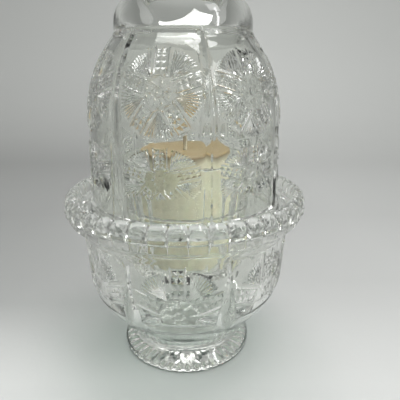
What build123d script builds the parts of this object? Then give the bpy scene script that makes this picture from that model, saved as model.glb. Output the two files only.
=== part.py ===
from build123d import *
from math import cos, pi, radians, sin, tan
import os

# Fairy lamp of pressed clear glass: a footed bowl with a beaded rim, a fluted candle cup
# hung in the bowl by its flange, a ribbed shade standing on that flange, and a candle.
# Millimetres, +Z up, the origin under the middle of the foot. The front faces -Y.

# Pattern common to the bowl and the shade: smooth ribs between recessed panels,
# each panel holding five-fold wheels of fans and cane bars round a small star.
panel_count = 7
panel_depth = 0.9
wheel_arms = 5
star_points = 8
star_share = 0.33
star_notch_share = 0.23
arm_start_share = 0.38
fan_half_angle = 20.0
bar_end_share = 0.97
bar_half_width_share = 0.13

# Foot and bowl
foot_radius = 34.5
foot_edge = 3.4
foot_edge_round = 1.2
foot_ring_width = 3.5
foot_hollow = 2.2
foot_ray_count = 42
foot_ray_depth = 1.1
foot_ray_inner_radius = 9.0
foot_ray_overrun = 1.5
foot_ray_share = 0.62
foot_ray_tip_width = 1.0
foot_ray_start = -1.0
waist_radius = 28.5
waist_height = 10.0
waist_round = 3.0
belly_radius = 50.0
belly_height = 37.1
belly_round = 27.0
bowl_top_radius = 52.1
bowl_top_height = 71.5
bowl_top_round = 2.0
bowl_turn = -2.0
bowl_wall = 8.0
belly_wall = 7.6
bowl_floor = 14.5
bowl_floor_radius = 24.0
bowl_floor_round = 8.0
bowl_hollow_height = 36.0
bowl_hollow_round = 22.0

# Panels of the bowl and their wheel
bowl_panel_bottom = 17.0
bowl_panel_top = 68.0
bowl_panel_foot_width = 24.0
bowl_panel_waist_width = 35.0
bowl_panel_waist_height = 41.0
bowl_panel_top_width = 42.0
bowl_panel_corner = 4.0
bowl_wheel_radius = 22.0
bowl_wheel_height = 42.0

# Rim: a plain tier under a ring of upright beads
rim_radius = 60.0
rim_tier_radius = 58.3
rim_tier_bottom = 76.6
rim_tier_top = 80.8
rim_crest_height = 88.3
rim_tier_round = 1.5
rim_core_past_beads = 1.0
rim_core_drop = 2.4
rim_core_round = 1.2
rim_inner_inset = 6.9
bead_count = 46
bead_gap = 0.12
bead_turn = -0.9

# Seat inside the rim for the cup's flange
seat_height = 77.5
seat_radius = 48.2
seat_lip_round = 1.0

# Candle cup
cup_bottom = 47.0
cup_floor = 52.0
cup_top = 104.0
cup_top_radius = 34.3
cup_bottom_radius = 27.5
cup_wall = 3.5
cup_rim_round = 1.3
cup_foot_round = 2.0
cup_floor_round = 1.0
flange_thickness = 3.5
flange_play = 0.6
flange_round = 0.6
flute_count = 28
flute_radius = 4.5
flute_depth = 0.7
flute_bottom_margin = 3.0
flute_top_margin = 8.0

# Shade
shade_foot_radius = 47.0
shade_foot_round = 0.8
shade_shoulder_radius = 45.8
shade_shoulder_height = 144.0
shade_shoulder_round = 58.0
shade_wall = 3.5
notch_radius = 31.4
notch_height = 160.5
notch_round = 0.8
collar_radius = 31.7
collar_height = 171.0
collar_round = 14.0
collar_wall = 4.5
shade_top = 178.0
lip_radius = 21.0
chimney_radius = 18.0
chimney_depth = 4.0
chimney_round = 2.0
lip_round = 1.4
shade_hollow_shoulder = 140.0
shade_hollow_shoulder_round = 50.0
shade_hollow_neck = 159.5
shade_hollow_neck_round = 12.0
shade_turn = -10.5

# Panels of the shade and their two wheels
shade_panel_bottom = 84.5
shade_panel_width = 33.2
shade_panel_straight = 136.0
shade_panel_shoulder_width = 31.6
shade_panel_shoulder = 150.0
shade_panel_top_width = 26.8
shade_panel_top = 158.5
upper_wheel_radius = 17.7
upper_wheel_height = 136.4
lower_wheel_half_width = 18.5
lower_wheel_half_height = 13.0
lower_wheel_height = 102.5
lower_wheel_cut = 95.0

# Candle, wick and the tinned tab under it
candle_height = 55.8
candle_top_radius = 22.5
candle_bottom_radius = 21.5
candle_round = 1.2
candle_dish_depth = 1.0
candle_dish_radius = 14.0
wick_radius = 1.1
wick_tip_round = 0.66
wick_stand = 7.0
wick_play = 0.05
tab_radius = 9.0
tab_thickness = 0.5
tab_collar_wall = 0.7
tab_collar_height = 3.5
tab_play = 0.05

# Sizes that follow from those above
foot_ring_inner = foot_radius - foot_edge_round - foot_ring_width
seat_mouth_radius = bowl_top_radius - bowl_wall
hollow_radius = belly_radius - belly_wall
flange_radius = seat_radius - flange_play
flange_top = seat_height + flange_thickness
shade_bottom = flange_top
bead_circle = (rim_radius + bead_gap / 2) / (1 + pi / bead_count)
bead_radius = rim_radius - bead_circle
bead_centre_height = rim_crest_height - bead_radius
prism_inner = 8.0
prism_outer = rim_radius + 10.0


def limited_radii(corners):
    """Each corner's fillet radius, reduced where its two runs are too short for it."""
    count = len(corners)
    spots = [Vector(r, 0, z) for r, z, _ in corners]
    runs = [spots[(i + 1) % count] - spots[i] for i in range(count)]
    reach = []
    for i in range(count):
        turn = runs[i - 1].get_angle(runs[i])
        reach.append(corners[i][2] * tan(radians(turn) / 2))
    allowed = []
    for i in range(count):
        share = 1.0
        for run, pair in ((runs[i - 1], (i - 1, i)), (runs[i], (i, (i + 1) % count))):
            used = reach[pair[0]] + reach[pair[1]]
            if used > 0:
                share = min(share, 0.98 * run.length / used)
        allowed.append(corners[i][2] * share)
    return spots, allowed


def turned(corners):
    """Solid of revolution about Z from closed corners, each (radius, height, fillet radius)."""
    spots, radii = limited_radii(corners)
    outline = FilletPolyline(*spots, radius=radii, close=True)
    return revolve(make_face(outline.edges()), Axis.Z)


def front_prism(face):
    """A face drawn as (across, up) made into a prism that runs out of the body towards -Y."""
    placed = Plane(origin=(0, -prism_inner, 0), x_dir=(1, 0, 0), z_dir=(0, -1, 0)) * face
    return extrude(placed, prism_outer - prism_inner)


def round_the_axis(solid, count, first_turn):
    """Copies of a solid at the front, spread evenly round Z from first_turn degrees."""
    return [Rot(0, 0, first_turn + i * 360.0 / count) * solid for i in range(count)]


def wheel_faces(half_width, half_height):
    """Faces of a five-fold wheel: a star, cane bars from it, and fans between the bars."""
    def at(angle, share):
        return Vector(half_width * share * cos(radians(angle)),
                      half_height * share * sin(radians(angle)))

    faces = []
    star = []
    for i in range(2 * star_points):
        share = star_share if i % 2 == 0 else star_notch_share
        star.append(at(90 + i * 180.0 / star_points, share))
    faces.append(make_face(Polyline(*star, close=True).edges()))
    step = 360.0 / wheel_arms
    for arm in range(wheel_arms):
        bar = 90 + arm * step
        fan = bar + step / 2
        corner = [at(fan - fan_half_angle, 1), at(fan, 1), at(fan + fan_half_angle, 1)]
        apex = at(fan, arm_start_share)
        sides = [Line(apex, corner[0]), ThreePointArc(*corner), Line(corner[2], apex)]
        faces.append(make_face(sides))
        along = at(bar, 1)
        across = at(bar + 90, bar_half_width_share)
        near = along * arm_start_share
        far = along * bar_end_share
        bar_corners = [near - across, far - across, far + across, near + across]
        faces.append(make_face(Polyline(*bar_corners, close=True).edges()))
    return faces


def panel_cutters(outline, ground, wheels, turn):
    """Recesses of the panels with the wheels left standing in them."""
    cutter = front_prism(outline) - ground
    standing = []
    for faces, width, height, level, floor_level in wheels:
        window = Pos(0, floor_level) * Rectangle(width, prism_outer, align=(Align.CENTER, Align.MIN))
        for face in faces:
            clipped = (Pos(0, level) * face) & window
            standing += [front_prism(piece) for piece in clipped.faces()]
    cutter = cutter - standing
    return round_the_axis(cutter, panel_count, turn)


def bowl_corners(inset):
    """Outside of the foot and bowl up to the rim's tier, drawn in by inset."""
    return [
        (foot_radius - inset, foot_edge, foot_edge_round),
        (waist_radius - inset, waist_height, waist_round),
        (belly_radius - inset, belly_height, belly_round),
        (bowl_top_radius - inset, bowl_top_height, bowl_top_round),
    ]


def bowl_panel():
    """Outline of one panel of the bowl: narrow at the foot, wide under the rim."""
    half = [w / 2 for w in (bowl_panel_foot_width, bowl_panel_waist_width, bowl_panel_top_width)]
    right = [
        (half[0], bowl_panel_bottom),
        (half[1], bowl_panel_waist_height),
        (half[2], bowl_panel_top - bowl_panel_corner),
    ]
    inner = half[2] - bowl_panel_corner
    top = [(inner, bowl_panel_top), (-inner, bowl_panel_top)]
    left = [(-x, z) for x, z in reversed(right)]
    return make_face(Polyline(*right, *top, *left, close=True).edges())


def foot_rays():
    """Grooves pressed under the foot, deepest at the edge and running out towards the middle."""
    outer = foot_ring_inner + foot_ray_overrun
    width = 2 * pi * outer / foot_ray_count * foot_ray_share
    rise = foot_hollow + foot_ray_depth
    mouth = Plane(origin=(0, -outer, 0), x_dir=(1, 0, 0), z_dir=(0, -1, 0))
    tip = Plane(origin=(0, -foot_ray_inner_radius, 0), x_dir=(1, 0, 0), z_dir=(0, -1, 0))
    ends = []
    for plane, across, top in ((mouth, width, rise), (tip, foot_ray_tip_width, foot_hollow)):
        corners = [(-across / 2, foot_ray_start), (across / 2, foot_ray_start), (0, top)]
        ends.append(plane * make_face(Polyline(*corners, close=True).edges()))
    return round_the_axis(loft(ends), foot_ray_count, bowl_turn)


def footed_bowl():
    """Foot and bowl up to the tier and the seat inside it."""
    outside = [
        (0, foot_hollow, 0),
        (foot_ring_inner, 0, 0),
        (foot_radius, 0, foot_edge_round),
        *bowl_corners(0),
        (rim_tier_radius, rim_tier_bottom, rim_tier_round),
        (rim_tier_radius, rim_tier_top, 0),
    ]
    inside = [
        (seat_radius, rim_tier_top, seat_lip_round),
        (seat_radius, seat_height, 0),
        (seat_mouth_radius, seat_height, 0),
        (hollow_radius, bowl_hollow_height, bowl_hollow_round),
        (bowl_floor_radius, bowl_floor, bowl_floor_round),
        (0, bowl_floor, 0),
    ]
    glass = turned(outside + inside)
    ground = turned([(0, 0, 0), *bowl_corners(panel_depth), (0, bowl_top_height, 0)])
    wheel = (
        wheel_faces(bowl_wheel_radius, bowl_wheel_radius),
        bowl_panel_top_width,
        bowl_wheel_radius,
        bowl_wheel_height,
        bowl_panel_bottom,
    )
    glass = glass - panel_cutters(bowl_panel(), ground, [wheel], bowl_turn)
    return glass - foot_rays()


def beaded_rim():
    """Ring of upright beads on their core. It is one pressing with the bowl, and a solid of
    its own only so that its collision keeps clear of the shade's foot inside it."""
    crown_outer = bead_circle + rim_core_past_beads
    crown_inner = rim_radius - rim_inner_inset
    crown_top = rim_crest_height - rim_core_drop
    core = turned([
        (crown_inner, rim_tier_top, 0),
        (crown_outer, rim_tier_top, 0),
        (crown_outer, crown_top, rim_core_round),
        (crown_inner, crown_top, rim_core_round),
    ])
    standing = (Align.CENTER, Align.CENTER, Align.MIN)
    barrel = Pos(0, 0, rim_tier_top) * Cylinder(
        bead_radius, bead_centre_height - rim_tier_top, align=standing)
    over_tier = Pos(0, 0, rim_tier_top) * Cylinder(bead_radius * 2, bead_radius * 4, align=standing)
    bead = (barrel + Pos(0, 0, bead_centre_height) * Sphere(bead_radius)) & over_tier
    return core + round_the_axis(Pos(0, -bead_circle, 0) * bead, bead_count, bead_turn)


def shade_corners(inset):
    """Outside of the shade from its foot to the collar's notch, drawn in by inset."""
    return [
        (shade_foot_radius - inset, shade_bottom, shade_foot_round),
        (shade_shoulder_radius - inset, shade_shoulder_height, shade_shoulder_round),
        (notch_radius - inset, notch_height, notch_round),
    ]


def shade_panel():
    """Outline of one panel of the shade: upright sides that draw in to the notch under the collar."""
    half = shade_panel_width / 2
    shoulder = shade_panel_shoulder_width / 2
    tip = shade_panel_top_width / 2
    edges = [
        Line((-half, shade_panel_bottom), (half, shade_panel_bottom)),
        Line((-tip, shade_panel_top), (tip, shade_panel_top)),
    ]
    for side in (-1, 1):
        bend = (side * half, shade_panel_straight)
        edges.append(Line((side * half, shade_panel_bottom), bend))
        edges.append(ThreePointArc(
            bend, (side * shoulder, shade_panel_shoulder), (side * tip, shade_panel_top)))
    return make_face(edges)


def shade():
    """Bell of glass with ribs, wheeled panels, a smooth collar and the chimney hole."""
    outside = [
        *shade_corners(0),
        (collar_radius, collar_height, collar_round),
        (lip_radius, shade_top, lip_round),
    ]
    inside = [
        (chimney_radius, shade_top, lip_round),
        (chimney_radius, shade_top - chimney_depth, chimney_round),
        (notch_radius - collar_wall, shade_hollow_neck, shade_hollow_neck_round),
        (shade_shoulder_radius - shade_wall, shade_hollow_shoulder, shade_hollow_shoulder_round),
        (shade_foot_radius - shade_wall, shade_bottom, shade_foot_round),
    ]
    glass = turned(outside + inside)
    ground = turned([(0, shade_bottom, 0), *shade_corners(panel_depth), (0, notch_height, 0)])
    upper = (
        wheel_faces(upper_wheel_radius, upper_wheel_radius),
        shade_panel_width,
        upper_wheel_radius,
        upper_wheel_height,
        lower_wheel_height + lower_wheel_half_height,
    )
    lower = (
        wheel_faces(lower_wheel_half_width, lower_wheel_half_height),
        shade_panel_width,
        lower_wheel_half_height,
        lower_wheel_height,
        lower_wheel_cut,
    )
    return glass - panel_cutters(shade_panel(), ground, [upper, lower], shade_turn)


def candle_cup():
    """Fluted cup with the flange that hangs it in the bowl and carries the shade."""
    slope = (cup_top_radius - cup_bottom_radius) / (cup_top - cup_bottom)
    inner_bottom = cup_bottom_radius + slope * (cup_floor - cup_bottom) - cup_wall
    wall = turned([
        (0, cup_bottom, 0),
        (cup_bottom_radius, cup_bottom, cup_foot_round),
        (cup_top_radius, cup_top, cup_rim_round),
        (cup_top_radius - cup_wall, cup_top, cup_rim_round),
        (inner_bottom, cup_floor, cup_floor_round),
        (0, cup_floor, 0),
    ])
    low = cup_bottom + flute_bottom_margin
    high = cup_top - flute_top_margin
    low_radius = cup_bottom_radius + slope * flute_bottom_margin
    high_radius = cup_top_radius - slope * flute_top_margin
    start = Vector(0, -(low_radius + flute_radius - flute_depth), low)
    end = Vector(0, -(high_radius + flute_radius - flute_depth), high)
    along = end - start
    flute = Plane(origin=start, x_dir=(1, 0, 0), z_dir=along) * Cylinder(
        flute_radius, along.length, align=(Align.CENTER, Align.CENTER, Align.MIN))
    wall = wall - round_the_axis(flute, flute_count, 0)
    neck = cup_bottom_radius + slope * (seat_height - cup_bottom) - cup_wall / 2
    flange = turned([
        (neck, seat_height, 0),
        (flange_radius, seat_height, flange_round),
        (flange_radius, flange_top, flange_round),
        (neck, flange_top, 0),
    ])
    return wall + flange


def candle():
    """Wax with its wick hole and the recess for the tab, standing on the cup's floor."""
    top = cup_floor + candle_height
    hole = wick_radius + wick_play
    recess = tab_radius + tab_play
    collar = wick_radius + wick_play + tab_collar_wall + tab_play
    return turned([
        (recess, cup_floor, 0),
        (candle_bottom_radius, cup_floor, candle_round),
        (candle_top_radius, top, candle_round),
        (candle_dish_radius, top, 0),
        (hole, top - candle_dish_depth, 0),
        (hole, cup_floor + tab_collar_height + tab_play, 0),
        (collar, cup_floor + tab_collar_height + tab_play, 0),
        (collar, cup_floor + tab_thickness + tab_play, 0),
        (recess, cup_floor + tab_thickness + tab_play, 0),
    ])


def wick_tab():
    """Tinned disc with the collar that grips the wick."""
    bore = wick_radius + wick_play
    return turned([
        (0, cup_floor, 0),
        (tab_radius, cup_floor, 0),
        (tab_radius, cup_floor + tab_thickness, 0),
        (bore + tab_collar_wall, cup_floor + tab_thickness, 0),
        (bore + tab_collar_wall, cup_floor + tab_collar_height, 0),
        (bore, cup_floor + tab_collar_height, 0),
        (bore, cup_floor + tab_thickness, 0),
        (0, cup_floor + tab_thickness, 0),
    ])


def wick():
    """Cotton wick from the tab up through the wax."""
    bottom = cup_floor + tab_thickness
    top = cup_floor + candle_height - candle_dish_depth + wick_stand
    return turned([
        (0, bottom, 0),
        (wick_radius, bottom, 0),
        (wick_radius, top, wick_tip_round),
        (0, top, 0),
    ])


pieces = {
    "footed_bowl": footed_bowl(),
    "beaded_rim": beaded_rim(),
    "shade": shade(),
    "candle_cup": candle_cup(),
    "candle": candle(),
    "wick": wick(),
    "wick_tab": wick_tab(),
}

os.makedirs("parts", exist_ok=True)
for name, piece in pieces.items():
    export_step(piece, f"parts/{name}.step")
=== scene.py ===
import bpy
import bmesh
from math import acos, atan2, ceil, cos, hypot, pi, radians, sin, sqrt, tan
from mathutils.geometry import delaunay_2d_cdt
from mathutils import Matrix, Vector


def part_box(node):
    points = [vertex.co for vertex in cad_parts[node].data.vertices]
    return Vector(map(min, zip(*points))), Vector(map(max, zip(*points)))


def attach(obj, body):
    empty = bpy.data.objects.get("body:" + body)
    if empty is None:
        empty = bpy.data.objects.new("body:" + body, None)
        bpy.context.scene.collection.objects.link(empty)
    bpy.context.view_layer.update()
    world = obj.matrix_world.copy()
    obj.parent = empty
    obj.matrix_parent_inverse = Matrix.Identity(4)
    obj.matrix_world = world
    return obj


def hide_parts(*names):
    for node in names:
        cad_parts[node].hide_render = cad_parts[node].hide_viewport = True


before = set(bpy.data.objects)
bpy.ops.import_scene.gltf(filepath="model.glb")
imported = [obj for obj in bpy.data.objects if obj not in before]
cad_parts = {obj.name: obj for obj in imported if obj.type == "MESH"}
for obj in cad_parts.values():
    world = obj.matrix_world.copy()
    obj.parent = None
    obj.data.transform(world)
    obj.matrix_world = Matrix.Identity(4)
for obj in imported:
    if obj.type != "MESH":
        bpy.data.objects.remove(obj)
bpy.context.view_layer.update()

# Footed bowl
# One heavy pressing of clear glass: a rayed foot, a bowl with ribs between seven patterned
# panels, and a flared rim with a ring of beads. The mould and the plunger leave crisp facets
# and no undercuts, and fire polishing leaves the plain glass slightly wavy.

MM = 0.001
ROUND = 252                                # steps round a plain turned wall, 36 to a panel
PANELS = 7
PANEL_TURN = 2 * pi / PANELS
BOWL_TURN = radians(-2.0)
RELIEF = 0.9                               # depth of a panel's ground below the ribs
PATTERN = {"ray": 0.42, "cane": 0.55, "star": 0.6}    # height of the pattern over that ground
BEADS = 46
BEAD_TURN = radians(-0.9)
BEAD_STEPS = 6                             # mesh steps in half a bead
FOOT_RAYS = 42
FOOT_RAY_DEPTH = 0.5
RIM_REACH = min(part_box("beaded_rim")[1].x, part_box("beaded_rim")[1].y) / MM - 0.02

FOOT_UNDER = [(0, 2.2, 0), (29.8, 0, 0), (33.3, 0, 0)]
FOOT_AND_WAIST = [(33.3, 0, 0), (34.45, 0.9, 0.8), (34.45, 3.4, 1.2), (28.5, 10.0, 3.0), (31.6, 14.0, 0)]
BOWL_SIDE = [(31.6, 14.0, 0), (50.0, 37.1, 27.0), (52.02, 70.0, 0)]
BOWL_TOP = [(52.02, 70.0, 0), (52.1, 71.5, 2.0), (58.0, 76.4, 0)]
HOLLOW = [(48.2, 77.5, 0), (44.1, 77.5, 0.5), (42.4, 36.0, 22.0), (24.0, 14.5, 8.0), (0, 14.5, 0)]

# The rim at the middle of a bead and in the valley beside it, from the tier's foot over
# the crest and down the fluted inner side to the seat. Radii are short of the rim's reach.
BEAD_CREST = [(-1.75, 76.6), (-1.5, 78.4), (-1.5, 79.6), (-0.7, 79.8), (0.0, 80.2), (0.0, 80.55), (-0.5, 80.95),
              (-0.45, 81.6), (-0.25, 83.0), (-0.3, 84.4), (-0.65, 85.7), (-1.1, 86.6), (-2.3, 87.55), (-3.0, 88.1),
              (-4.0, 88.28), (-5.2, 87.6), (-6.1, 86.5), (-6.7, 85.0), (-7.0, 83.3), (-7.1, 81.8), (-7.9, 80.8),
              (-11.0, 80.75), (-11.8, 79.9), (-11.8, 77.5)]
BEAD_VALLEY = [(-1.95, 76.5), (-2.0, 78.3), (-2.0, 79.5), (-2.0, 79.7), (-2.0, 80.1), (-2.0, 80.4), (-2.15, 80.75),
               (-2.2, 81.1), (-2.3, 82.0), (-2.45, 83.0), (-2.7, 83.9), (-2.95, 84.3), (-3.4, 84.9), (-3.9, 85.25),
               (-4.5, 85.3), (-5.2, 85.1), (-5.9, 84.6), (-6.4, 83.8), (-6.85, 82.8), (-7.1, 81.6), (-7.9, 80.8),
               (-11.0, 80.75), (-11.8, 79.9), (-11.8, 77.5)]
BEAD_FLATNESS = 3.0                        # 2 is a half round, more is squarer

# Panel of the bowl: half widths and heights of its outline, and its one wheel.
BOWL_PANEL = [(17.0, 37.5), (19.4, 47.0), (21.2, 56.0), (22.2, 63.0), (20.6, 66.6), (15.5, 68.0)]
BOWL_WHEEL = {"half_width": 22.0, "half_height": 23.0, "height": 44.0, "cut": 37.8}
RAYS = 9                                   # rays in a fan
STAR_POINTS = 8
CANE_ROWS = 4
CANE_COLUMNS = 2


def rounded_path(corners, step=1.4):
    """Points (radius, height) along an outline whose corners are (radius, height, rounding)."""
    path = [corners[0][:2]]
    for before, corner, after in zip(corners, corners[1:], corners[2:]):
        into = (corner[0] - before[0], corner[1] - before[1])
        out = (after[0] - corner[0], after[1] - corner[1])
        into_length, out_length = hypot(*into), hypot(*out)
        into = (into[0] / into_length, into[1] / into_length)
        out = (out[0] / out_length, out[1] / out_length)
        turn = acos(max(-1, min(1, into[0] * out[0] + into[1] * out[1])))
        rounding = corner[2]
        if rounding == 0 or turn < 0.01:
            path.append(corner[:2])
            continue
        back = rounding * tan(turn / 2)
        side = 1 if into[0] * out[1] - into[1] * out[0] > 0 else -1
        start = (corner[0] - into[0] * back, corner[1] - into[1] * back)
        centre = (start[0] - into[1] * side * rounding, start[1] + into[0] * side * rounding)
        arc_steps = max(3, ceil(turn / radians(12)), ceil(rounding * turn / step))
        for i in range(arc_steps + 1):
            angle = side * turn * i / arc_steps
            arm = (start[0] - centre[0], start[1] - centre[1])
            path.append((centre[0] + arm[0] * cos(angle) - arm[1] * sin(angle),
                         centre[1] + arm[0] * sin(angle) + arm[1] * cos(angle)))
    path.append(corners[-1][:2])
    fine = [path[0]]
    for a, b in zip(path, path[1:]):
        pieces = max(1, ceil(hypot(b[0] - a[0], b[1] - a[1]) / step))
        fine += [(a[0] + (b[0] - a[0]) * i / pieces, a[1] + (b[1] - a[1]) * i / pieces)
                 for i in range(1, pieces + 1)]
    return fine


def around(radius, height, angle):
    """A point at an angle from the front, which faces -Y, in metres."""
    return (radius * sin(angle) * MM, -radius * cos(angle) * MM, height * MM)


class Glass:
    """Points and faces of one pressing, gathered strip by strip and then sewn together."""

    def __init__(self):
        self.points = []
        self.faces = []

    def ring(self, radii_heights, angles):
        first = len(self.points)
        self.points += [around(r, z, t) for (r, z), t in zip(radii_heights, angles)]
        return list(range(first, len(self.points)))

    def sleeve(self, rows):
        """Quads between rings that have as many points as each other."""
        for low, high in zip(rows, rows[1:]):
            count = len(low)
            for i in range(count):
                j = (i + 1) % count
                self.faces.append((low[i], low[j], high[j], high[i]))

    def turned(self, path, turn, shift=None):
        """A plain turned wall. shift(radius, height, angle) may move each of its points."""
        angles = [turn + 2 * pi * i / ROUND for i in range(ROUND)]
        rows = []
        for radius, height in path:
            if radius < 0.01:
                self.points.append((0, 0, height * MM))
                rows.append([len(self.points) - 1] * ROUND)
                continue
            spots = [shift(radius, height, t) if shift else (radius, height) for t in angles]
            rows.append(self.ring(spots, angles))
        for low, high in zip(rows, rows[1:]):
            for i in range(ROUND):
                corners = (low[i], low[(i + 1) % ROUND], high[(i + 1) % ROUND], high[i])
                self.faces.append(tuple(dict.fromkeys(corners)))
        return rows

    def bridge(self, low, low_angles, high, high_angles):
        """Triangles between two rings that have different counts, matched by angle."""
        i, j = 0, 0
        while i < len(low) or j < len(high):
            next_low = low_angles[i + 1] if i + 1 < len(low) else low_angles[0] + 2 * pi
            next_high = high_angles[j + 1] if j + 1 < len(high) else high_angles[0] + 2 * pi
            a, b = low[i % len(low)], high[j % len(high)]
            if j >= len(high) or (i < len(low) and next_low <= next_high):
                self.faces.append((a, low[(i + 1) % len(low)], b))
                i += 1
            else:
                self.faces.append((a, high[(j + 1) % len(high)], b))
                j += 1

    def panels(self, points, triangles, turn):
        """Copies of one panel's mesh side by side round the axis."""
        for copy in range(PANELS):
            angle = turn + copy * PANEL_TURN
            first = len(self.points)
            for radius, height, across in points:
                self.points.append(around(radius, height, across + angle))
            self.faces += [tuple(first + k for k in t) for t in triangles]

    def made(self, name, crease):
        """The sewn mesh as an object, with edges sharper than crease degrees kept crisp."""
        mesh = bpy.data.meshes.new(name)
        mesh.from_pydata(self.points, [], self.faces)
        work = bmesh.new()
        work.from_mesh(mesh)
        bmesh.ops.remove_doubles(work, verts=work.verts, dist=0.004 * MM)
        bmesh.ops.dissolve_degenerate(work, edges=work.edges, dist=0.002 * MM)
        bmesh.ops.recalc_face_normals(work, faces=work.faces)
        work.to_mesh(mesh)
        work.free()
        mesh.shade_smooth()
        mesh.set_sharp_from_angle(angle=radians(crease))
        piece = bpy.data.objects.new(name, mesh)
        bpy.context.scene.collection.objects.link(piece)
        return piece


def wheel_lines(half_width, half_height):
    """Ridges and valleys of a five-fold wheel as chains of (across, up, height over the ground)."""
    chains = []
    kind = "star"

    def at(along, across, angle, rise):
        """A point in an arm's own axes, on a wheel of radius 1 that is then stretched."""
        x = along * cos(angle) - across * sin(angle)
        y = along * sin(angle) + across * cos(angle)
        return (x * half_width, y * half_height, rise * PATTERN[kind])

    star = 2 * STAR_POINTS
    for k in range(star):
        angle = pi / 2 + k * 2 * pi / star
        after = pi / 2 + (k + 1) * 2 * pi / star
        tip = k % 2 == 0
        levels = [(0.085, 0.9), (0.125, 0.3), (0.19, 0.95 if tip else 0.25), (0.345 if tip else 0.235, 0.0)]
        levels_after = [(0.085, 0.9), (0.125, 0.3), (0.19, 0.25 if tip else 0.95), (0.235 if tip else 0.345, 0.0)]
        chains.append([at(0, 0, 0, 0.55)] + [at(d, 0, angle, rise) for d, rise in levels])
        for (d, rise), (d_after, rise_after) in zip(levels, levels_after):
            chains.append([at(d, 0, angle, rise), at(d_after, 0, after, rise_after)])
    apex, edge, spread = 0.38, 0.955, radians(34.0)
    for arm in range(5):
        kind = "ray"
        fan = pi / 2 + pi / 5 + arm * 2 * pi / 5
        ends = []
        for k in range(2 * RAYS + 1):
            angle = -spread + k * spread / RAYS
            ridge = k % 2 == 1
            limit = 1.0 if ridge else edge
            reach = -apex * cos(angle) + sqrt(limit ** 2 - (apex * sin(angle)) ** 2)
            profile = [(0.0, 0.0), (0.14, 0.4), (0.4, 1.0), (0.65, 1.0), (0.88, 0.95), (1.0, 0.0)]
            ray = []
            for share, rise in profile:
                along = apex + share * reach * cos(angle)
                ray.append(at(along, share * reach * sin(angle), fan, rise if ridge else 0.0))
            chains.append(ray)
            ends.append(ray[-1])
        chains.append(ends)
        kind = "cane"
        bar = pi / 2 + arm * 2 * pi / 5
        near, far, half = 0.385, 0.965, 0.175
        for side in (-1, 1):
            for across, rise in ((1.0, 0.0), (0.86, 0.7), (0.72, 0.0)):
                chains.append([at(near + (far - near) * k / CANE_ROWS, side * across * half, bar, rise)
                               for k in range(CANE_ROWS + 1)])
        for k in range(CANE_ROWS + 1):
            along = near + (far - near) * k / CANE_ROWS
            chains.append([at(along, (2 * c / CANE_COLUMNS - 1) * 0.72 * half, bar, 0.0)
                           for c in range(CANE_COLUMNS + 1)])
        for c in range(1, CANE_COLUMNS):
            across = (2 * c / CANE_COLUMNS - 1) * 0.72 * half
            chains.append([at(near + (far - near) * k / CANE_ROWS, across, bar, 0.0)
                           for k in range(CANE_ROWS + 1)])
        for k in range(CANE_ROWS):
            for c in range(CANE_COLUMNS):
                along = near + (far - near) * (k + 0.5) / CANE_ROWS
                chains.append([at(along, (2 * (c + 0.5) / CANE_COLUMNS - 1) * 0.72 * half, bar, 1.0)])
        for end in (near, far):
            chains.append([at(end, side * half, bar, 0.0) for side in (-1, 1)])
    return chains


def trimmed(a, b, outline):
    """The stretch of segment a to b inside a convex outline, or None."""
    low, high = 0.0, 1.0
    for (x0, y0), (x1, y1) in zip(outline, outline[1:] + outline[:1]):
        inward = (y0 - y1, x1 - x0)
        start = inward[0] * (a[0] - x0) + inward[1] * (a[1] - y0)
        end = inward[0] * (b[0] - x0) + inward[1] * (b[1] - y0)
        if start < 0 and end < 0:
            return None
        if start < 0:
            low = max(low, start / (start - end))
        if end < 0:
            high = min(high, start / (start - end))
    if low >= high:
        return None
    return [tuple(p + (q - p) * t for p, q in zip(a, b)) for t in (low, high)]


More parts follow.
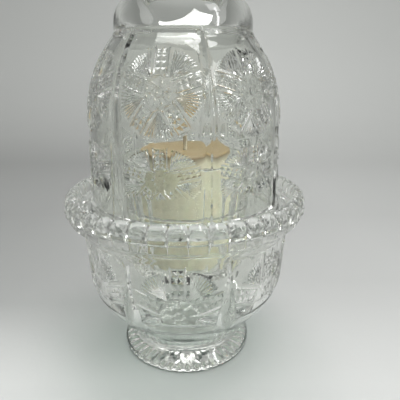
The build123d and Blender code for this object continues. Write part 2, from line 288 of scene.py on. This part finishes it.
def panel_mesh(side, outline, wheels, spacing=1.7, rib_fall=0.45, bevel=1.2, rib_columns=5):
    """One panel between two rib crests: its points (radius, height, angle) and triangles.

    side is the rib crest's path; outline is the panel's right half as (half width, height);
    wheels are dicts of half width, half height, height and cut. Heights turn into lengths
    along the path, so that the pattern isn't squeezed where the wall leans in."""
    lengths = [0.0]
    for a, b in zip(side, side[1:]):
        lengths.append(lengths[-1] + hypot(b[0] - a[0], b[1] - a[1]))

    def spot(length):
        """Radius, height and outward normal at a length along the path."""
        k = 0
        while k < len(lengths) - 2 and lengths[k + 1] < length:
            k += 1
        run = lengths[k + 1] - lengths[k]
        t = (length - lengths[k]) / run
        (r0, z0), (r1, z1) = side[k], side[k + 1]
        return r0 + (r1 - r0) * t, z0 + (z1 - z0) * t, (z1 - z0) / run, -(r1 - r0) / run

    def length_at(height):
        """Length along the path at a height."""
        for k in range(len(side) - 1):
            if side[k][1] <= height <= side[k + 1][1]:
                t = (height - side[k][1]) / (side[k + 1][1] - side[k][1])
                return lengths[k] + t * (lengths[k + 1] - lengths[k])
        return lengths[-1]

    half_turn = PANEL_TURN / 2
    columns = ROUND // PANELS
    points, edges = [], []

    def add(x, y, depth):
        points.append((x, y, depth))
        return len(points) - 1

    def chain(spots, closed=False):
        """Adds points joined one to the next, each (across, along, depth)."""
        ids = [add(*p) for p in spots]
        edges.extend(zip(ids, ids[1:]))
        if closed:
            edges.append((ids[-1], ids[0]))

    right = [(w, length_at(z)) for w, z in outline]
    inner = [(x, y) for x, y in right] + [(-x, y) for x, y in reversed(right)]
    count = len(inner)
    outer = []
    for k in range(count):
        before, here, after = inner[k - 1], inner[k], inner[(k + 1) % count]
        tangent = (after[0] - before[0], after[1] - before[1])
        size = hypot(*tangent)
        outer.append((here[0] + tangent[1] / size * bevel, here[1] - tangent[0] / size * bevel))

    def seam(y):
        """Half the distance between two rib crests."""
        return half_turn * spot(y)[0]

    outer = [(max(0.3 - seam(y), min(seam(y) - 0.3, x)), y) for x, y in outer]

    def edge(y):
        """Half the distance between the ribs' flanks, on the panel's own side."""
        flank = outer[:len(right)]
        for (x0, y0), (x1, y1) in zip(flank, flank[1:]):
            if y0 <= y <= y1:
                return x0 + (x1 - x0) * (y - y0) / (y1 - y0)
        return flank[0][0] if y < flank[0][1] else flank[-1][0]

    def rib_depth(x, y):
        """Depth below the crest line of the rounded rib, which runs out beyond the panel."""
        share = min(1.0, (seam(y) - abs(x)) / max(0.8, seam(y) - edge(y)))
        run_out = min(1.0, y / right[0][1], (lengths[-1] - y) / (lengths[-1] - right[-1][1]))
        return rib_fall * share ** 2 * run_out

    rows = max(2, round(lengths[-1] / spacing))
    levels = [lengths[-1] * k / rows for k in range(rows + 1)]
    border = []
    for column in range(columns + 1):
        border.append((half_turn * (2 * column / columns - 1) * spot(0)[0], 0.0))
    for y in levels[1:]:
        border.append((half_turn * spot(y)[0], y))
    for column in range(columns - 1, -1, -1):
        border.append((half_turn * (2 * column / columns - 1) * spot(levels[-1])[0], levels[-1]))
    for y in reversed(levels[1:-1]):
        border.append((-half_turn * spot(y)[0], y))
    chain([(x, y, rib_depth(x, y)) for x, y in border], closed=True)

    def inside(x, y, shape, margin=0.0):
        """Whether a point is inside a convex outline by more than margin."""
        for (x0, y0), (x1, y1) in zip(shape, shape[1:] + shape[:1]):
            inward = (y0 - y1, x1 - x0)
            if (inward[0] * (x - x0) + inward[1] * (y - y0)) / hypot(*inward) < margin:
                return False
        return True

    def finer(shape):
        """The outline with points no further apart than spacing."""
        result = []
        for a, b in zip(shape, shape[1:] + shape[:1]):
            pieces = max(1, round(hypot(b[0] - a[0], b[1] - a[1]) / spacing))
            result += [(a[0] + (b[0] - a[0]) * k / pieces, a[1] + (b[1] - a[1]) * k / pieces)
                       for k in range(pieces)]
        return result

    chain([(x, y, RELIEF) for x, y in finer(inner)], closed=True)
    chain([(x, y, rib_depth(x, y)) for x, y in finer(outer)], closed=True)

    discs = []
    for wheel in wheels:
        centre = length_at(wheel["height"])
        cut = length_at(wheel["cut"])
        discs.append((centre, cut, wheel["half_width"], wheel["half_height"]))
        window = []
        for x, y in inner:
            scale = (abs(x) - 0.45) / abs(x) if x else 1.0
            window.append((x * scale, min(max(y, cut + 0.4), levels[-1])))
        for spots in wheel_lines(wheel["half_width"], wheel["half_height"]):
            spots = [(x, y + centre, rise) for x, y, rise in spots]
            if len(spots) == 1:
                x, y, rise = spots[0]
                if inside(x, y, window, 0.05):
                    add(x, y, RELIEF - rise)
                continue
            for a, b in zip(spots, spots[1:]):
                kept = trimmed(a, b, window)
                if kept:
                    chain([(x, y, RELIEF - rise) for x, y, rise in kept])

    across = columns // 2
    for y in levels[1:-1]:
        beside_panel = right[0][1] - bevel < y < right[-1][1] + bevel
        for k in range(1 - across, across):
            x = seam(y) * k / across
            if inside(x, y, inner, 0.5 * spacing):
                if any(hypot(x / a, (y - c) / b) < 1.02 and y > cut - 0.3 for c, cut, a, b in discs):
                    continue
                add(x, y, RELIEF)
            elif beside_panel and abs(x) > edge(y) - 0.3:
                continue
            elif not inside(x, y, outer, -0.4 * spacing):
                add(x, y, rib_depth(x, y))
        if beside_panel and seam(y) - edge(y) > 0.8:
            for k in range(1, rib_columns):
                x = edge(y) + (seam(y) - edge(y)) * k / rib_columns
                add(x, y, rib_depth(x, y))
                add(-x, y, rib_depth(-x, y))

    flat = [(x, y) for x, y, _ in points]
    found = delaunay_2d_cdt(flat, edges, [], 1, 0.0005, True)
    vertices, _, triangles, origins = found[:4]
    placed = []
    for vertex, origin in zip(vertices, origins):
        depth = min(points[k][2] for k in origin) if origin else RELIEF
        radius, height, out, up = spot(min(max(vertex[1], 0.0), lengths[-1]))
        placed.append((radius - depth * out, height - depth * up, vertex[0] / radius))
    return placed, [t for t in triangles if len(t) == 3]


def foot_shift(radius, height, angle):
    """Lifts the foot's underside into rays that fade towards the middle and the ring."""
    phase = (angle - BOWL_TURN) * FOOT_RAYS / (2 * pi)
    wave = 1 - abs(2 * (phase % 1) - 1)
    fade = min(1.0, max(0.0, (radius - 8.0) / 16.0)) * min(1.0, max(0.0, (30.5 - radius) / 2.0))
    return radius, height + FOOT_RAY_DEPTH * wave * fade


bowl = Glass()
under = rounded_path(FOOT_UNDER)
bowl.turned(under, BOWL_TURN, foot_shift)
bowl.turned(rounded_path(FOOT_AND_WAIST), BOWL_TURN)
bowl.panels(*panel_mesh(rounded_path(BOWL_SIDE), BOWL_PANEL, [BOWL_WHEEL]), BOWL_TURN)
flare = rounded_path(BOWL_TOP)
flare_rows = bowl.turned(flare, BOWL_TURN)
bead_shares = [sin(pi / 2 * k / BEAD_STEPS) for k in range(-BEAD_STEPS, BEAD_STEPS)]
bead_angles = [BEAD_TURN + (bead + share / 2) * 2 * pi / BEADS
               for bead in range(BEADS) for share in bead_shares]
swells = [(1 - abs(share) ** BEAD_FLATNESS) ** (1 / BEAD_FLATNESS) for share in bead_shares] * BEADS
rim_rows = []
for crest, valley in zip(BEAD_CREST, BEAD_VALLEY):
    spots = [(RIM_REACH + valley[0] + (crest[0] - valley[0]) * s, valley[1] + (crest[1] - valley[1]) * s)
             for s in swells]
    rim_rows.append(bowl.ring(spots, bead_angles))
bowl.sleeve(rim_rows)
hollow_rows = bowl.turned(rounded_path(HOLLOW), BOWL_TURN)
plain_angles = [BOWL_TURN + 2 * pi * i / ROUND for i in range(ROUND)]
bowl.bridge(flare_rows[-1], plain_angles, rim_rows[0], bead_angles)
bowl.bridge(rim_rows[-1], bead_angles, hollow_rows[0], plain_angles)
bowl_piece = bowl.made("footed_bowl_glass", 24)


def glass_finish(name, tint, shadow):
    """Clear pressed glass, fire polished: smooth with a faint waviness, and letting lamps through."""
    material = bpy.data.materials.new(name)
    material.use_nodes = True
    nodes, links = material.node_tree.nodes, material.node_tree.links
    nodes.clear()
    shader = nodes.new("ShaderNodeBsdfPrincipled")
    shader.inputs["Base Color"].default_value = (*tint, 1)
    shader.inputs["Transmission Weight"].default_value = 1.0
    shader.inputs["IOR"].default_value = 1.52
    place = nodes.new("ShaderNodeTexCoord")
    wave = nodes.new("ShaderNodeTexNoise")
    wave.inputs["Scale"].default_value = 90.0
    wave.inputs["Detail"].default_value = 1.0
    polish = nodes.new("ShaderNodeTexNoise")
    polish.inputs["Scale"].default_value = 420.0
    rough = nodes.new("ShaderNodeMapRange")
    rough.inputs["To Min"].default_value = 0.0
    rough.inputs["To Max"].default_value = 0.05
    bump = nodes.new("ShaderNodeBump")
    bump.inputs["Strength"].default_value = 0.25
    bump.inputs["Distance"].default_value = 0.0006
    lamp = nodes.new("ShaderNodeBsdfTransparent")
    lamp.inputs["Color"].default_value = (*shadow, 1)
    path = nodes.new("ShaderNodeLightPath")
    mix = nodes.new("ShaderNodeMixShader")
    output = nodes.new("ShaderNodeOutputMaterial")
    links.new(place.outputs["Object"], wave.inputs["Vector"])
    links.new(place.outputs["Object"], polish.inputs["Vector"])
    links.new(wave.outputs["Fac"], bump.inputs["Height"])
    links.new(polish.outputs["Fac"], rough.inputs["Value"])
    links.new(rough.outputs["Result"], shader.inputs["Roughness"])
    links.new(bump.outputs["Normal"], shader.inputs["Normal"])
    links.new(path.outputs["Is Shadow Ray"], mix.inputs["Fac"])
    links.new(shader.outputs["BSDF"], mix.inputs[1])
    links.new(lamp.outputs["BSDF"], mix.inputs[2])
    links.new(mix.outputs["Shader"], output.inputs["Surface"])
    return material


pressed_glass = glass_finish("clear_pressed_glass", (0.95, 0.962, 0.935), (0.72, 0.75, 0.74))
bowl_piece.data.materials.append(pressed_glass)
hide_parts("footed_bowl", "beaded_rim")
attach(bowl_piece, "bowl")

# Candle cup
# A tumbler of thin clear pressed glass with broad flutes, and a flat flange at mid height
# that hangs it in the bowl's mouth and carries the shade.

CUP_TURN = radians(-3.4)
FLUTES = 28
FLUTE_DEPTH = 0.8
CUP_OUTSIDE = [(0, 47.0, 0), (27.5, 47.0, 2.0), (31.14, 77.56, 0.4), (47.55, 77.56, 0.6), (47.55, 80.94, 0.6),
               (31.55, 80.94, 0.4), (34.3, 104.0, 1.3), (30.8, 104.0, 1.3), (24.6, 52.0, 1.0), (0, 52.0, 0)]


def flute_shift(radius, height, angle):
    """Hollows the outside of the cup's wall into flutes, clear of its rim, base and flange."""
    wall = 27.5 + (34.3 - 27.5) * (height - 47.0) / (104.0 - 47.0)
    if abs(radius - wall) > 0.3:
        return radius, height
    fade = min(1.0, max(0.0, (height - 49.0) / 2.0)) * min(1.0, max(0.0, (97.0 - height) / 1.5))
    return radius - FLUTE_DEPTH * abs(sin((angle - CUP_TURN) * FLUTES / 2)) * fade, height


cup = Glass()
cup.turned(rounded_path(CUP_OUTSIDE), CUP_TURN, flute_shift)
cup_piece = cup.made("candle_cup_glass", 22)
cup_glass = glass_finish("clear_cup_glass", (0.965, 0.975, 0.955), (0.86, 0.88, 0.87))
cup_piece.data.materials.append(cup_glass)
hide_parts("candle_cup")
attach(cup_piece, "cup")

# Candle
# A votive of cream to tan wax, dark brown over its top, moulded with a slight taper, its top dished round the wick by
# burning.

CANDLE_OUTSIDE = [(9.1, 52.05, 0), (21.4, 52.05, 1.2), (22.4, 107.75, 1.2), (14.0, 107.7, 4.0), (1.15, 106.85, 0)]


def wax_finish():
    """Slightly translucent wax, cream to tan and dark brown over the top, with faint mottling and a satin skin."""
    material = bpy.data.materials.new("tan_candle_wax")
    material.use_nodes = True
    nodes, links = material.node_tree.nodes, material.node_tree.links
    shader = nodes["Principled BSDF"]
    place = nodes.new("ShaderNodeTexCoord")
    mottle = nodes.new("ShaderNodeTexNoise")
    mottle.inputs["Scale"].default_value = 70.0
    mottle.inputs["Detail"].default_value = 5.0
    ramp = nodes.new("ShaderNodeValToRGB")
    ramp.color_ramp.elements[0].position = 0.3
    ramp.color_ramp.elements[0].color = (0.78, 0.715, 0.52, 1)
    ramp.color_ramp.elements[1].position = 0.75
    ramp.color_ramp.elements[1].color = (0.89, 0.84, 0.67, 1)
    split = nodes.new("ShaderNodeSeparateXYZ")
    # Dark brown over the candle's top few millimetres.
    top_band = nodes.new("ShaderNodeMapRange")
    top_band.inputs["From Min"].default_value = 0.1035
    top_band.inputs["From Max"].default_value = 0.1068
    mix = nodes.new("ShaderNodeMix")
    mix.data_type = "RGBA"
    mix.inputs["B"].default_value = (0.25, 0.18, 0.085, 1)
    links.new(place.outputs["Object"], split.inputs["Vector"])
    links.new(split.outputs["Z"], top_band.inputs["Value"])
    links.new(top_band.outputs["Result"], mix.inputs["Factor"])
    links.new(ramp.outputs["Color"], mix.inputs["A"])
    grain = nodes.new("ShaderNodeTexNoise")
    grain.inputs["Scale"].default_value = 900.0
    bump = nodes.new("ShaderNodeBump")
    bump.inputs["Strength"].default_value = 0.3
    bump.inputs["Distance"].default_value = 0.0002
    links.new(place.outputs["Object"], mottle.inputs["Vector"])
    links.new(place.outputs["Object"], grain.inputs["Vector"])
    links.new(mottle.outputs["Fac"], ramp.inputs["Fac"])
    links.new(mix.outputs["Result"], shader.inputs["Base Color"])
    links.new(grain.outputs["Fac"], bump.inputs["Height"])
    links.new(bump.outputs["Normal"], shader.inputs["Normal"])
    shader.inputs["Roughness"].default_value = 0.42
    shader.inputs["Subsurface Weight"].default_value = 0.25
    shader.inputs["Subsurface Radius"].default_value = (0.004, 0.0028, 0.0015)
    shader.inputs["Subsurface Scale"].default_value = 1.0
    return material


wax = Glass()
wax.turned(rounded_path(CANDLE_OUTSIDE + [(1.15, 56.0, 0), (9.1, 52.6, 0), (9.1, 52.05, 0)]), 0.0)
candle_piece = wax.made("candle_wax", 40)
candle_piece.data.materials.append(wax_finish())
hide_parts("candle")
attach(candle_piece, "candle")

# Wick
# Braided cotton soaked in wax, standing a few millimetres out of the candle.

WICK_RADIUS = 1.05
WICK_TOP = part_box("wick")[1].z / MM - 0.1
WICK_FOOT = 52.5
STRANDS = 3


def wick_mesh():
    """Strands wound round each other as one mesh."""
    strand_radius = WICK_RADIUS * 0.46
    offset = WICK_RADIUS - strand_radius
    points, faces = [], []
    steps, sides = 90, 8
    for strand in range(STRANDS):
        first = len(points)
        for k in range(steps + 1):
            height = WICK_FOOT + (WICK_TOP - WICK_FOOT) * k / steps
            twist = 2 * pi * (strand / STRANDS + height / 4.0)
            for side in range(sides):
                angle = 2 * pi * side / sides
                x = offset * cos(twist) + strand_radius * cos(angle)
                y = offset * sin(twist) + strand_radius * sin(angle)
                points.append((x * MM, y * MM, height * MM))
        for k in range(steps):
            for side in range(sides):
                a = first + k * sides + side
                b = first + k * sides + (side + 1) % sides
                faces.append((a, b, b + sides, a + sides))
        faces.append(tuple(first + side for side in reversed(range(sides))))
        faces.append(tuple(first + steps * sides + side for side in range(sides)))
    mesh = bpy.data.meshes.new("wick_cotton")
    mesh.from_pydata(points, [], faces)
    mesh.shade_smooth()
    mesh.set_sharp_from_angle(angle=radians(50))
    return mesh


def cotton_finish():
    """Waxed cotton: pale at the foot, scorched brown towards the tip, with fine fibres."""
    material = bpy.data.materials.new("waxed_cotton")
    material.use_nodes = True
    nodes, links = material.node_tree.nodes, material.node_tree.links
    shader = nodes["Principled BSDF"]
    place = nodes.new("ShaderNodeTexCoord")
    split = nodes.new("ShaderNodeSeparateXYZ")
    height = nodes.new("ShaderNodeMapRange")
    height.inputs["From Min"].default_value = (WICK_TOP - 5.0) * MM
    height.inputs["From Max"].default_value = WICK_TOP * MM
    ramp = nodes.new("ShaderNodeValToRGB")
    ramp.color_ramp.elements[0].color = (0.72, 0.66, 0.52, 1)
    ramp.color_ramp.elements[1].color = (0.40, 0.34, 0.25, 1)
    fibre = nodes.new("ShaderNodeTexNoise")
    fibre.inputs["Scale"].default_value = 3000.0
    bump = nodes.new("ShaderNodeBump")
    bump.inputs["Distance"].default_value = 0.0002
    links.new(place.outputs["Object"], split.inputs["Vector"])
    links.new(place.outputs["Object"], fibre.inputs["Vector"])
    links.new(split.outputs["Z"], height.inputs["Value"])
    links.new(height.outputs["Result"], ramp.inputs["Fac"])
    links.new(ramp.outputs["Color"], shader.inputs["Base Color"])
    links.new(fibre.outputs["Fac"], bump.inputs["Height"])
    links.new(bump.outputs["Normal"], shader.inputs["Normal"])
    shader.inputs["Roughness"].default_value = 0.8
    return material


wick_piece = bpy.data.objects.new("wick_braid", wick_mesh())
bpy.context.scene.collection.objects.link(wick_piece)
wick_piece.data.materials.append(cotton_finish())
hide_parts("wick")
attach(wick_piece, "candle")

# Wick tab
# A disc of tinned sheet pressed into a short collar that grips the wick, set into the wax.


def tinned_finish():
    """Dull tin with the fine rings left by pressing."""
    material = bpy.data.materials.new("tinned_sheet")
    material.use_nodes = True
    nodes, links = material.node_tree.nodes, material.node_tree.links
    shader = nodes["Principled BSDF"]
    shader.inputs["Base Color"].default_value = (0.60, 0.60, 0.58, 1)
    shader.inputs["Metallic"].default_value = 1.0
    place = nodes.new("ShaderNodeTexCoord")
    rings = nodes.new("ShaderNodeTexWave")
    rings.wave_type = "RINGS"
    rings.rings_direction = "Z"
    rings.inputs["Scale"].default_value = 700.0
    rings.inputs["Distortion"].default_value = 1.5
    rough = nodes.new("ShaderNodeMapRange")
    rough.inputs["To Min"].default_value = 0.28
    rough.inputs["To Max"].default_value = 0.45
    links.new(place.outputs["Object"], rings.inputs["Vector"])
    links.new(rings.outputs["Fac"], rough.inputs["Value"])
    links.new(rough.outputs["Result"], shader.inputs["Roughness"])
    return material


tab_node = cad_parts["wick_tab"]
tab_node.data.materials.clear()
tab_node.data.materials.append(tinned_finish())

# Shade
# A bell of clear pressed glass: rounded ribs between seven panels with two wheels each, a
# plain band at its foot, and a thick smooth collar round the open chimney hole.

SHADE_TURN = radians(-10.5)
SHADE_FOOT = [(43.6, 81.0, 0), (46.96, 81.0, 0.7), (46.9, 84.0, 0)]
SHADE_SIDE = [(46.9, 84.0, 0), (45.8, 144.0, 58.0), (31.9, 160.0, 0)]
SHADE_COLLAR = [(31.9, 160.0, 0), (31.4, 160.6, 0.4), (31.6, 171.0, 14.0), (21.0, 177.95, 1.3), (18.05, 177.9, 1.3),
                (18.05, 174.0, 2.0), (26.9, 159.5, 12.0), (42.3, 140.0, 50.0), (43.6, 81.0, 0)]
SHADE_PANEL = [(16.8, 84.6), (16.9, 120.0), (17.0, 136.0), (16.7, 144.0), (15.9, 150.0), (14.9, 154.5), (13.4, 158.4)]
SHADE_WHEELS = [
    {"half_width": 17.5, "half_height": 18.4, "height": 136.4, "cut": 112.0},
    {"half_width": 18.5, "half_height": 13.0, "height": 102.5, "cut": 95.0},
]

shade = Glass()
shade.turned(rounded_path(SHADE_FOOT), SHADE_TURN)
shade.panels(*panel_mesh(rounded_path(SHADE_SIDE), SHADE_PANEL, SHADE_WHEELS, rib_fall=0.75), SHADE_TURN)
shade.turned(rounded_path(SHADE_COLLAR), SHADE_TURN)
shade_piece = shade.made("shade_glass", 24)
shade_piece.data.materials.append(pressed_glass)
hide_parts("shade")
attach(shade_piece, "shade")

# Floor and backdrop
# A pale sheet that sweeps up behind the lamp, with painted shade behind and to the left of the lamp.

SWEEP = [(-1.2, 0.0), (0.45, 0.0), (0.62, 0.02), (0.75, 0.08), (0.85, 0.2), (0.9, 0.4), (0.92, 1.6)]
SWEEP_HALF_WIDTH = 1.6
# Painted shade on the sheet: greys by distance back for its left and right sides, darker behind the lamp and paler up
# the backdrop.
SHEET_SHADE_LEFT = [(0.06, 0.64), (0.13, 0.37), (0.30, 0.33), (0.55, 0.39), (0.99, 0.86)]
SHEET_SHADE_RIGHT = [(0.06, 0.57), (0.16, 0.46), (0.30, 0.45), (0.55, 0.56), (0.99, 0.95)]


def sheet_finish():
    """Matt pale paper with a faint tooth and painted shade: greyer behind the lamp and to its left, paler up the
    backdrop.
    """
    material = bpy.data.materials.new("pale_paper_painted_shade")
    material.use_nodes = True
    nodes, links = material.node_tree.nodes, material.node_tree.links
    shader = nodes["Principled BSDF"]
    shader.inputs["Roughness"].default_value = 0.9
    place = nodes.new("ShaderNodeTexCoord")
    split = nodes.new("ShaderNodeSeparateXYZ")
    # Masks of the painted shade: back runs with distance behind the lamp, side from left to right.
    back = nodes.new("ShaderNodeMapRange")
    back.inputs["From Min"].default_value = -0.1
    back.inputs["From Max"].default_value = 0.9
    side = nodes.new("ShaderNodeMapRange")
    side.inputs["From Min"].default_value = -0.16
    side.inputs["From Max"].default_value = 0.16
    mix = nodes.new("ShaderNodeMix")
    mix.data_type = "RGBA"
    links.new(place.outputs["Object"], split.inputs["Vector"])
    links.new(split.outputs["Y"], back.inputs["Value"])
    links.new(split.outputs["X"], side.inputs["Value"])
    links.new(side.outputs["Result"], mix.inputs["Factor"])
    for socket, greys in (("A", SHEET_SHADE_LEFT), ("B", SHEET_SHADE_RIGHT)):
        ramp = nodes.new("ShaderNodeValToRGB")
        stops = ramp.color_ramp.elements
        while len(stops) < len(greys):
            stops.new(0.5)
        for stop, (distance, grey) in zip(stops, greys):
            stop.position = distance
            stop.color = (grey * 0.99, grey, grey * 0.985, 1)
        links.new(back.outputs["Result"], ramp.inputs["Fac"])
        links.new(ramp.outputs["Color"], mix.inputs[socket])
    links.new(mix.outputs["Result"], shader.inputs["Base Color"])
    tooth = nodes.new("ShaderNodeTexNoise")
    tooth.inputs["Scale"].default_value = 300.0
    bump = nodes.new("ShaderNodeBump")
    bump.inputs["Strength"].default_value = 0.1
    bump.inputs["Distance"].default_value = 0.0005
    links.new(place.outputs["Object"], tooth.inputs["Vector"])
    links.new(tooth.outputs["Fac"], bump.inputs["Height"])
    links.new(bump.outputs["Normal"], shader.inputs["Normal"])
    return material


sweep_points = [(side * SWEEP_HALF_WIDTH, y, z) for y, z in SWEEP for side in (-1, 1)]
sweep_faces = [(2 * k, 2 * k + 1, 2 * k + 3, 2 * k + 2) for k in range(len(SWEEP) - 1)]
sweep_mesh = bpy.data.meshes.new("sweep")
sweep_mesh.from_pydata(sweep_points, [], sweep_faces)
sweep_mesh.shade_smooth()
sweep = bpy.data.objects.new("sweep", sweep_mesh)
bpy.context.scene.collection.objects.link(sweep)
sweep_mesh.materials.append(sheet_finish())

# Light
# Soft studio light: a broad lamp overhead, a smaller one at the upper right and a tall narrow
# one at the right that draws the streaks on the ribs.


def area_lamp(name, place, aim, size, watts):
    """A rectangular lamp at place, turned to aim."""
    lamp = bpy.data.lights.new(name, "AREA")
    lamp.shape = "RECTANGLE"
    lamp.size, lamp.size_y = size
    lamp.energy = watts
    holder = bpy.data.objects.new(name, lamp)
    bpy.context.scene.collection.objects.link(holder)
    holder.location = place
    direction = [a - p for a, p in zip(aim, place)]
    flat_length = hypot(direction[0], direction[1])
    holder.rotation_euler = (pi / 2 + atan2(direction[2], flat_length), 0,
                             atan2(-direction[0], direction[1]))
    return holder


area_lamp("overhead", (0.03, 0.05, 0.65), (0, 0, 0.1), (0.42, 0.26), 3.3)
area_lamp("key", (0.5, -0.35, 0.6), (0, 0, 0.1), (0.25, 0.25), 1.0)
area_lamp("streak", (0.62, -0.41, 0.38), (0, 0, 0.12), (0.05, 0.45), 1.0)

world = bpy.data.worlds.new("room")
world.use_nodes = True
room_nodes, room_links = world.node_tree.nodes, world.node_tree.links
room_way = room_nodes.new("ShaderNodeTexCoord")
room_split = room_nodes.new("ShaderNodeSeparateXYZ")
room_height = room_nodes.new("ShaderNodeMapRange")
room_height.inputs["From Min"].default_value = -0.2
room_height.inputs["From Max"].default_value = 0.9
room_tone = room_nodes.new("ShaderNodeValToRGB")
room_tone.color_ramp.elements[0].color = (0.11, 0.113, 0.108, 1)
room_tone.color_ramp.elements[1].color = (0.46, 0.47, 0.455, 1)
room_links.new(room_way.outputs["Generated"], room_split.inputs["Vector"])
room_links.new(room_split.outputs["Z"], room_height.inputs["Value"])
room_links.new(room_height.outputs["Result"], room_tone.inputs["Fac"])
room_links.new(room_tone.outputs["Color"], room_nodes["Background"].inputs["Color"])
bpy.context.scene.world = world

# Camera
# The photograph's viewpoint: close, a little above the shade's middle, looking down.

FOCAL_SHARE = 401 / 400                    # focal length over the picture's width
PITCH = radians(17.77)
camera_data = bpy.data.cameras.new("view")
camera_data.sensor_width = 36.0
camera_data.lens = 36.0 * FOCAL_SHARE
camera_data.clip_start = 0.01
camera = bpy.data.objects.new("view", camera_data)
bpy.context.scene.collection.objects.link(camera)
camera.location = (0.0075, -0.1982, 0.1437)
camera.rotation_euler = (pi / 2 - PITCH, 0, 0)
bpy.context.scene.camera = camera

scene = bpy.context.scene
scene.view_settings.view_transform = "Standard"
scene.cycles.max_bounces = 32
scene.cycles.transmission_bounces = 28
scene.cycles.glossy_bounces = 12
scene.cycles.transparent_max_bounces = 32
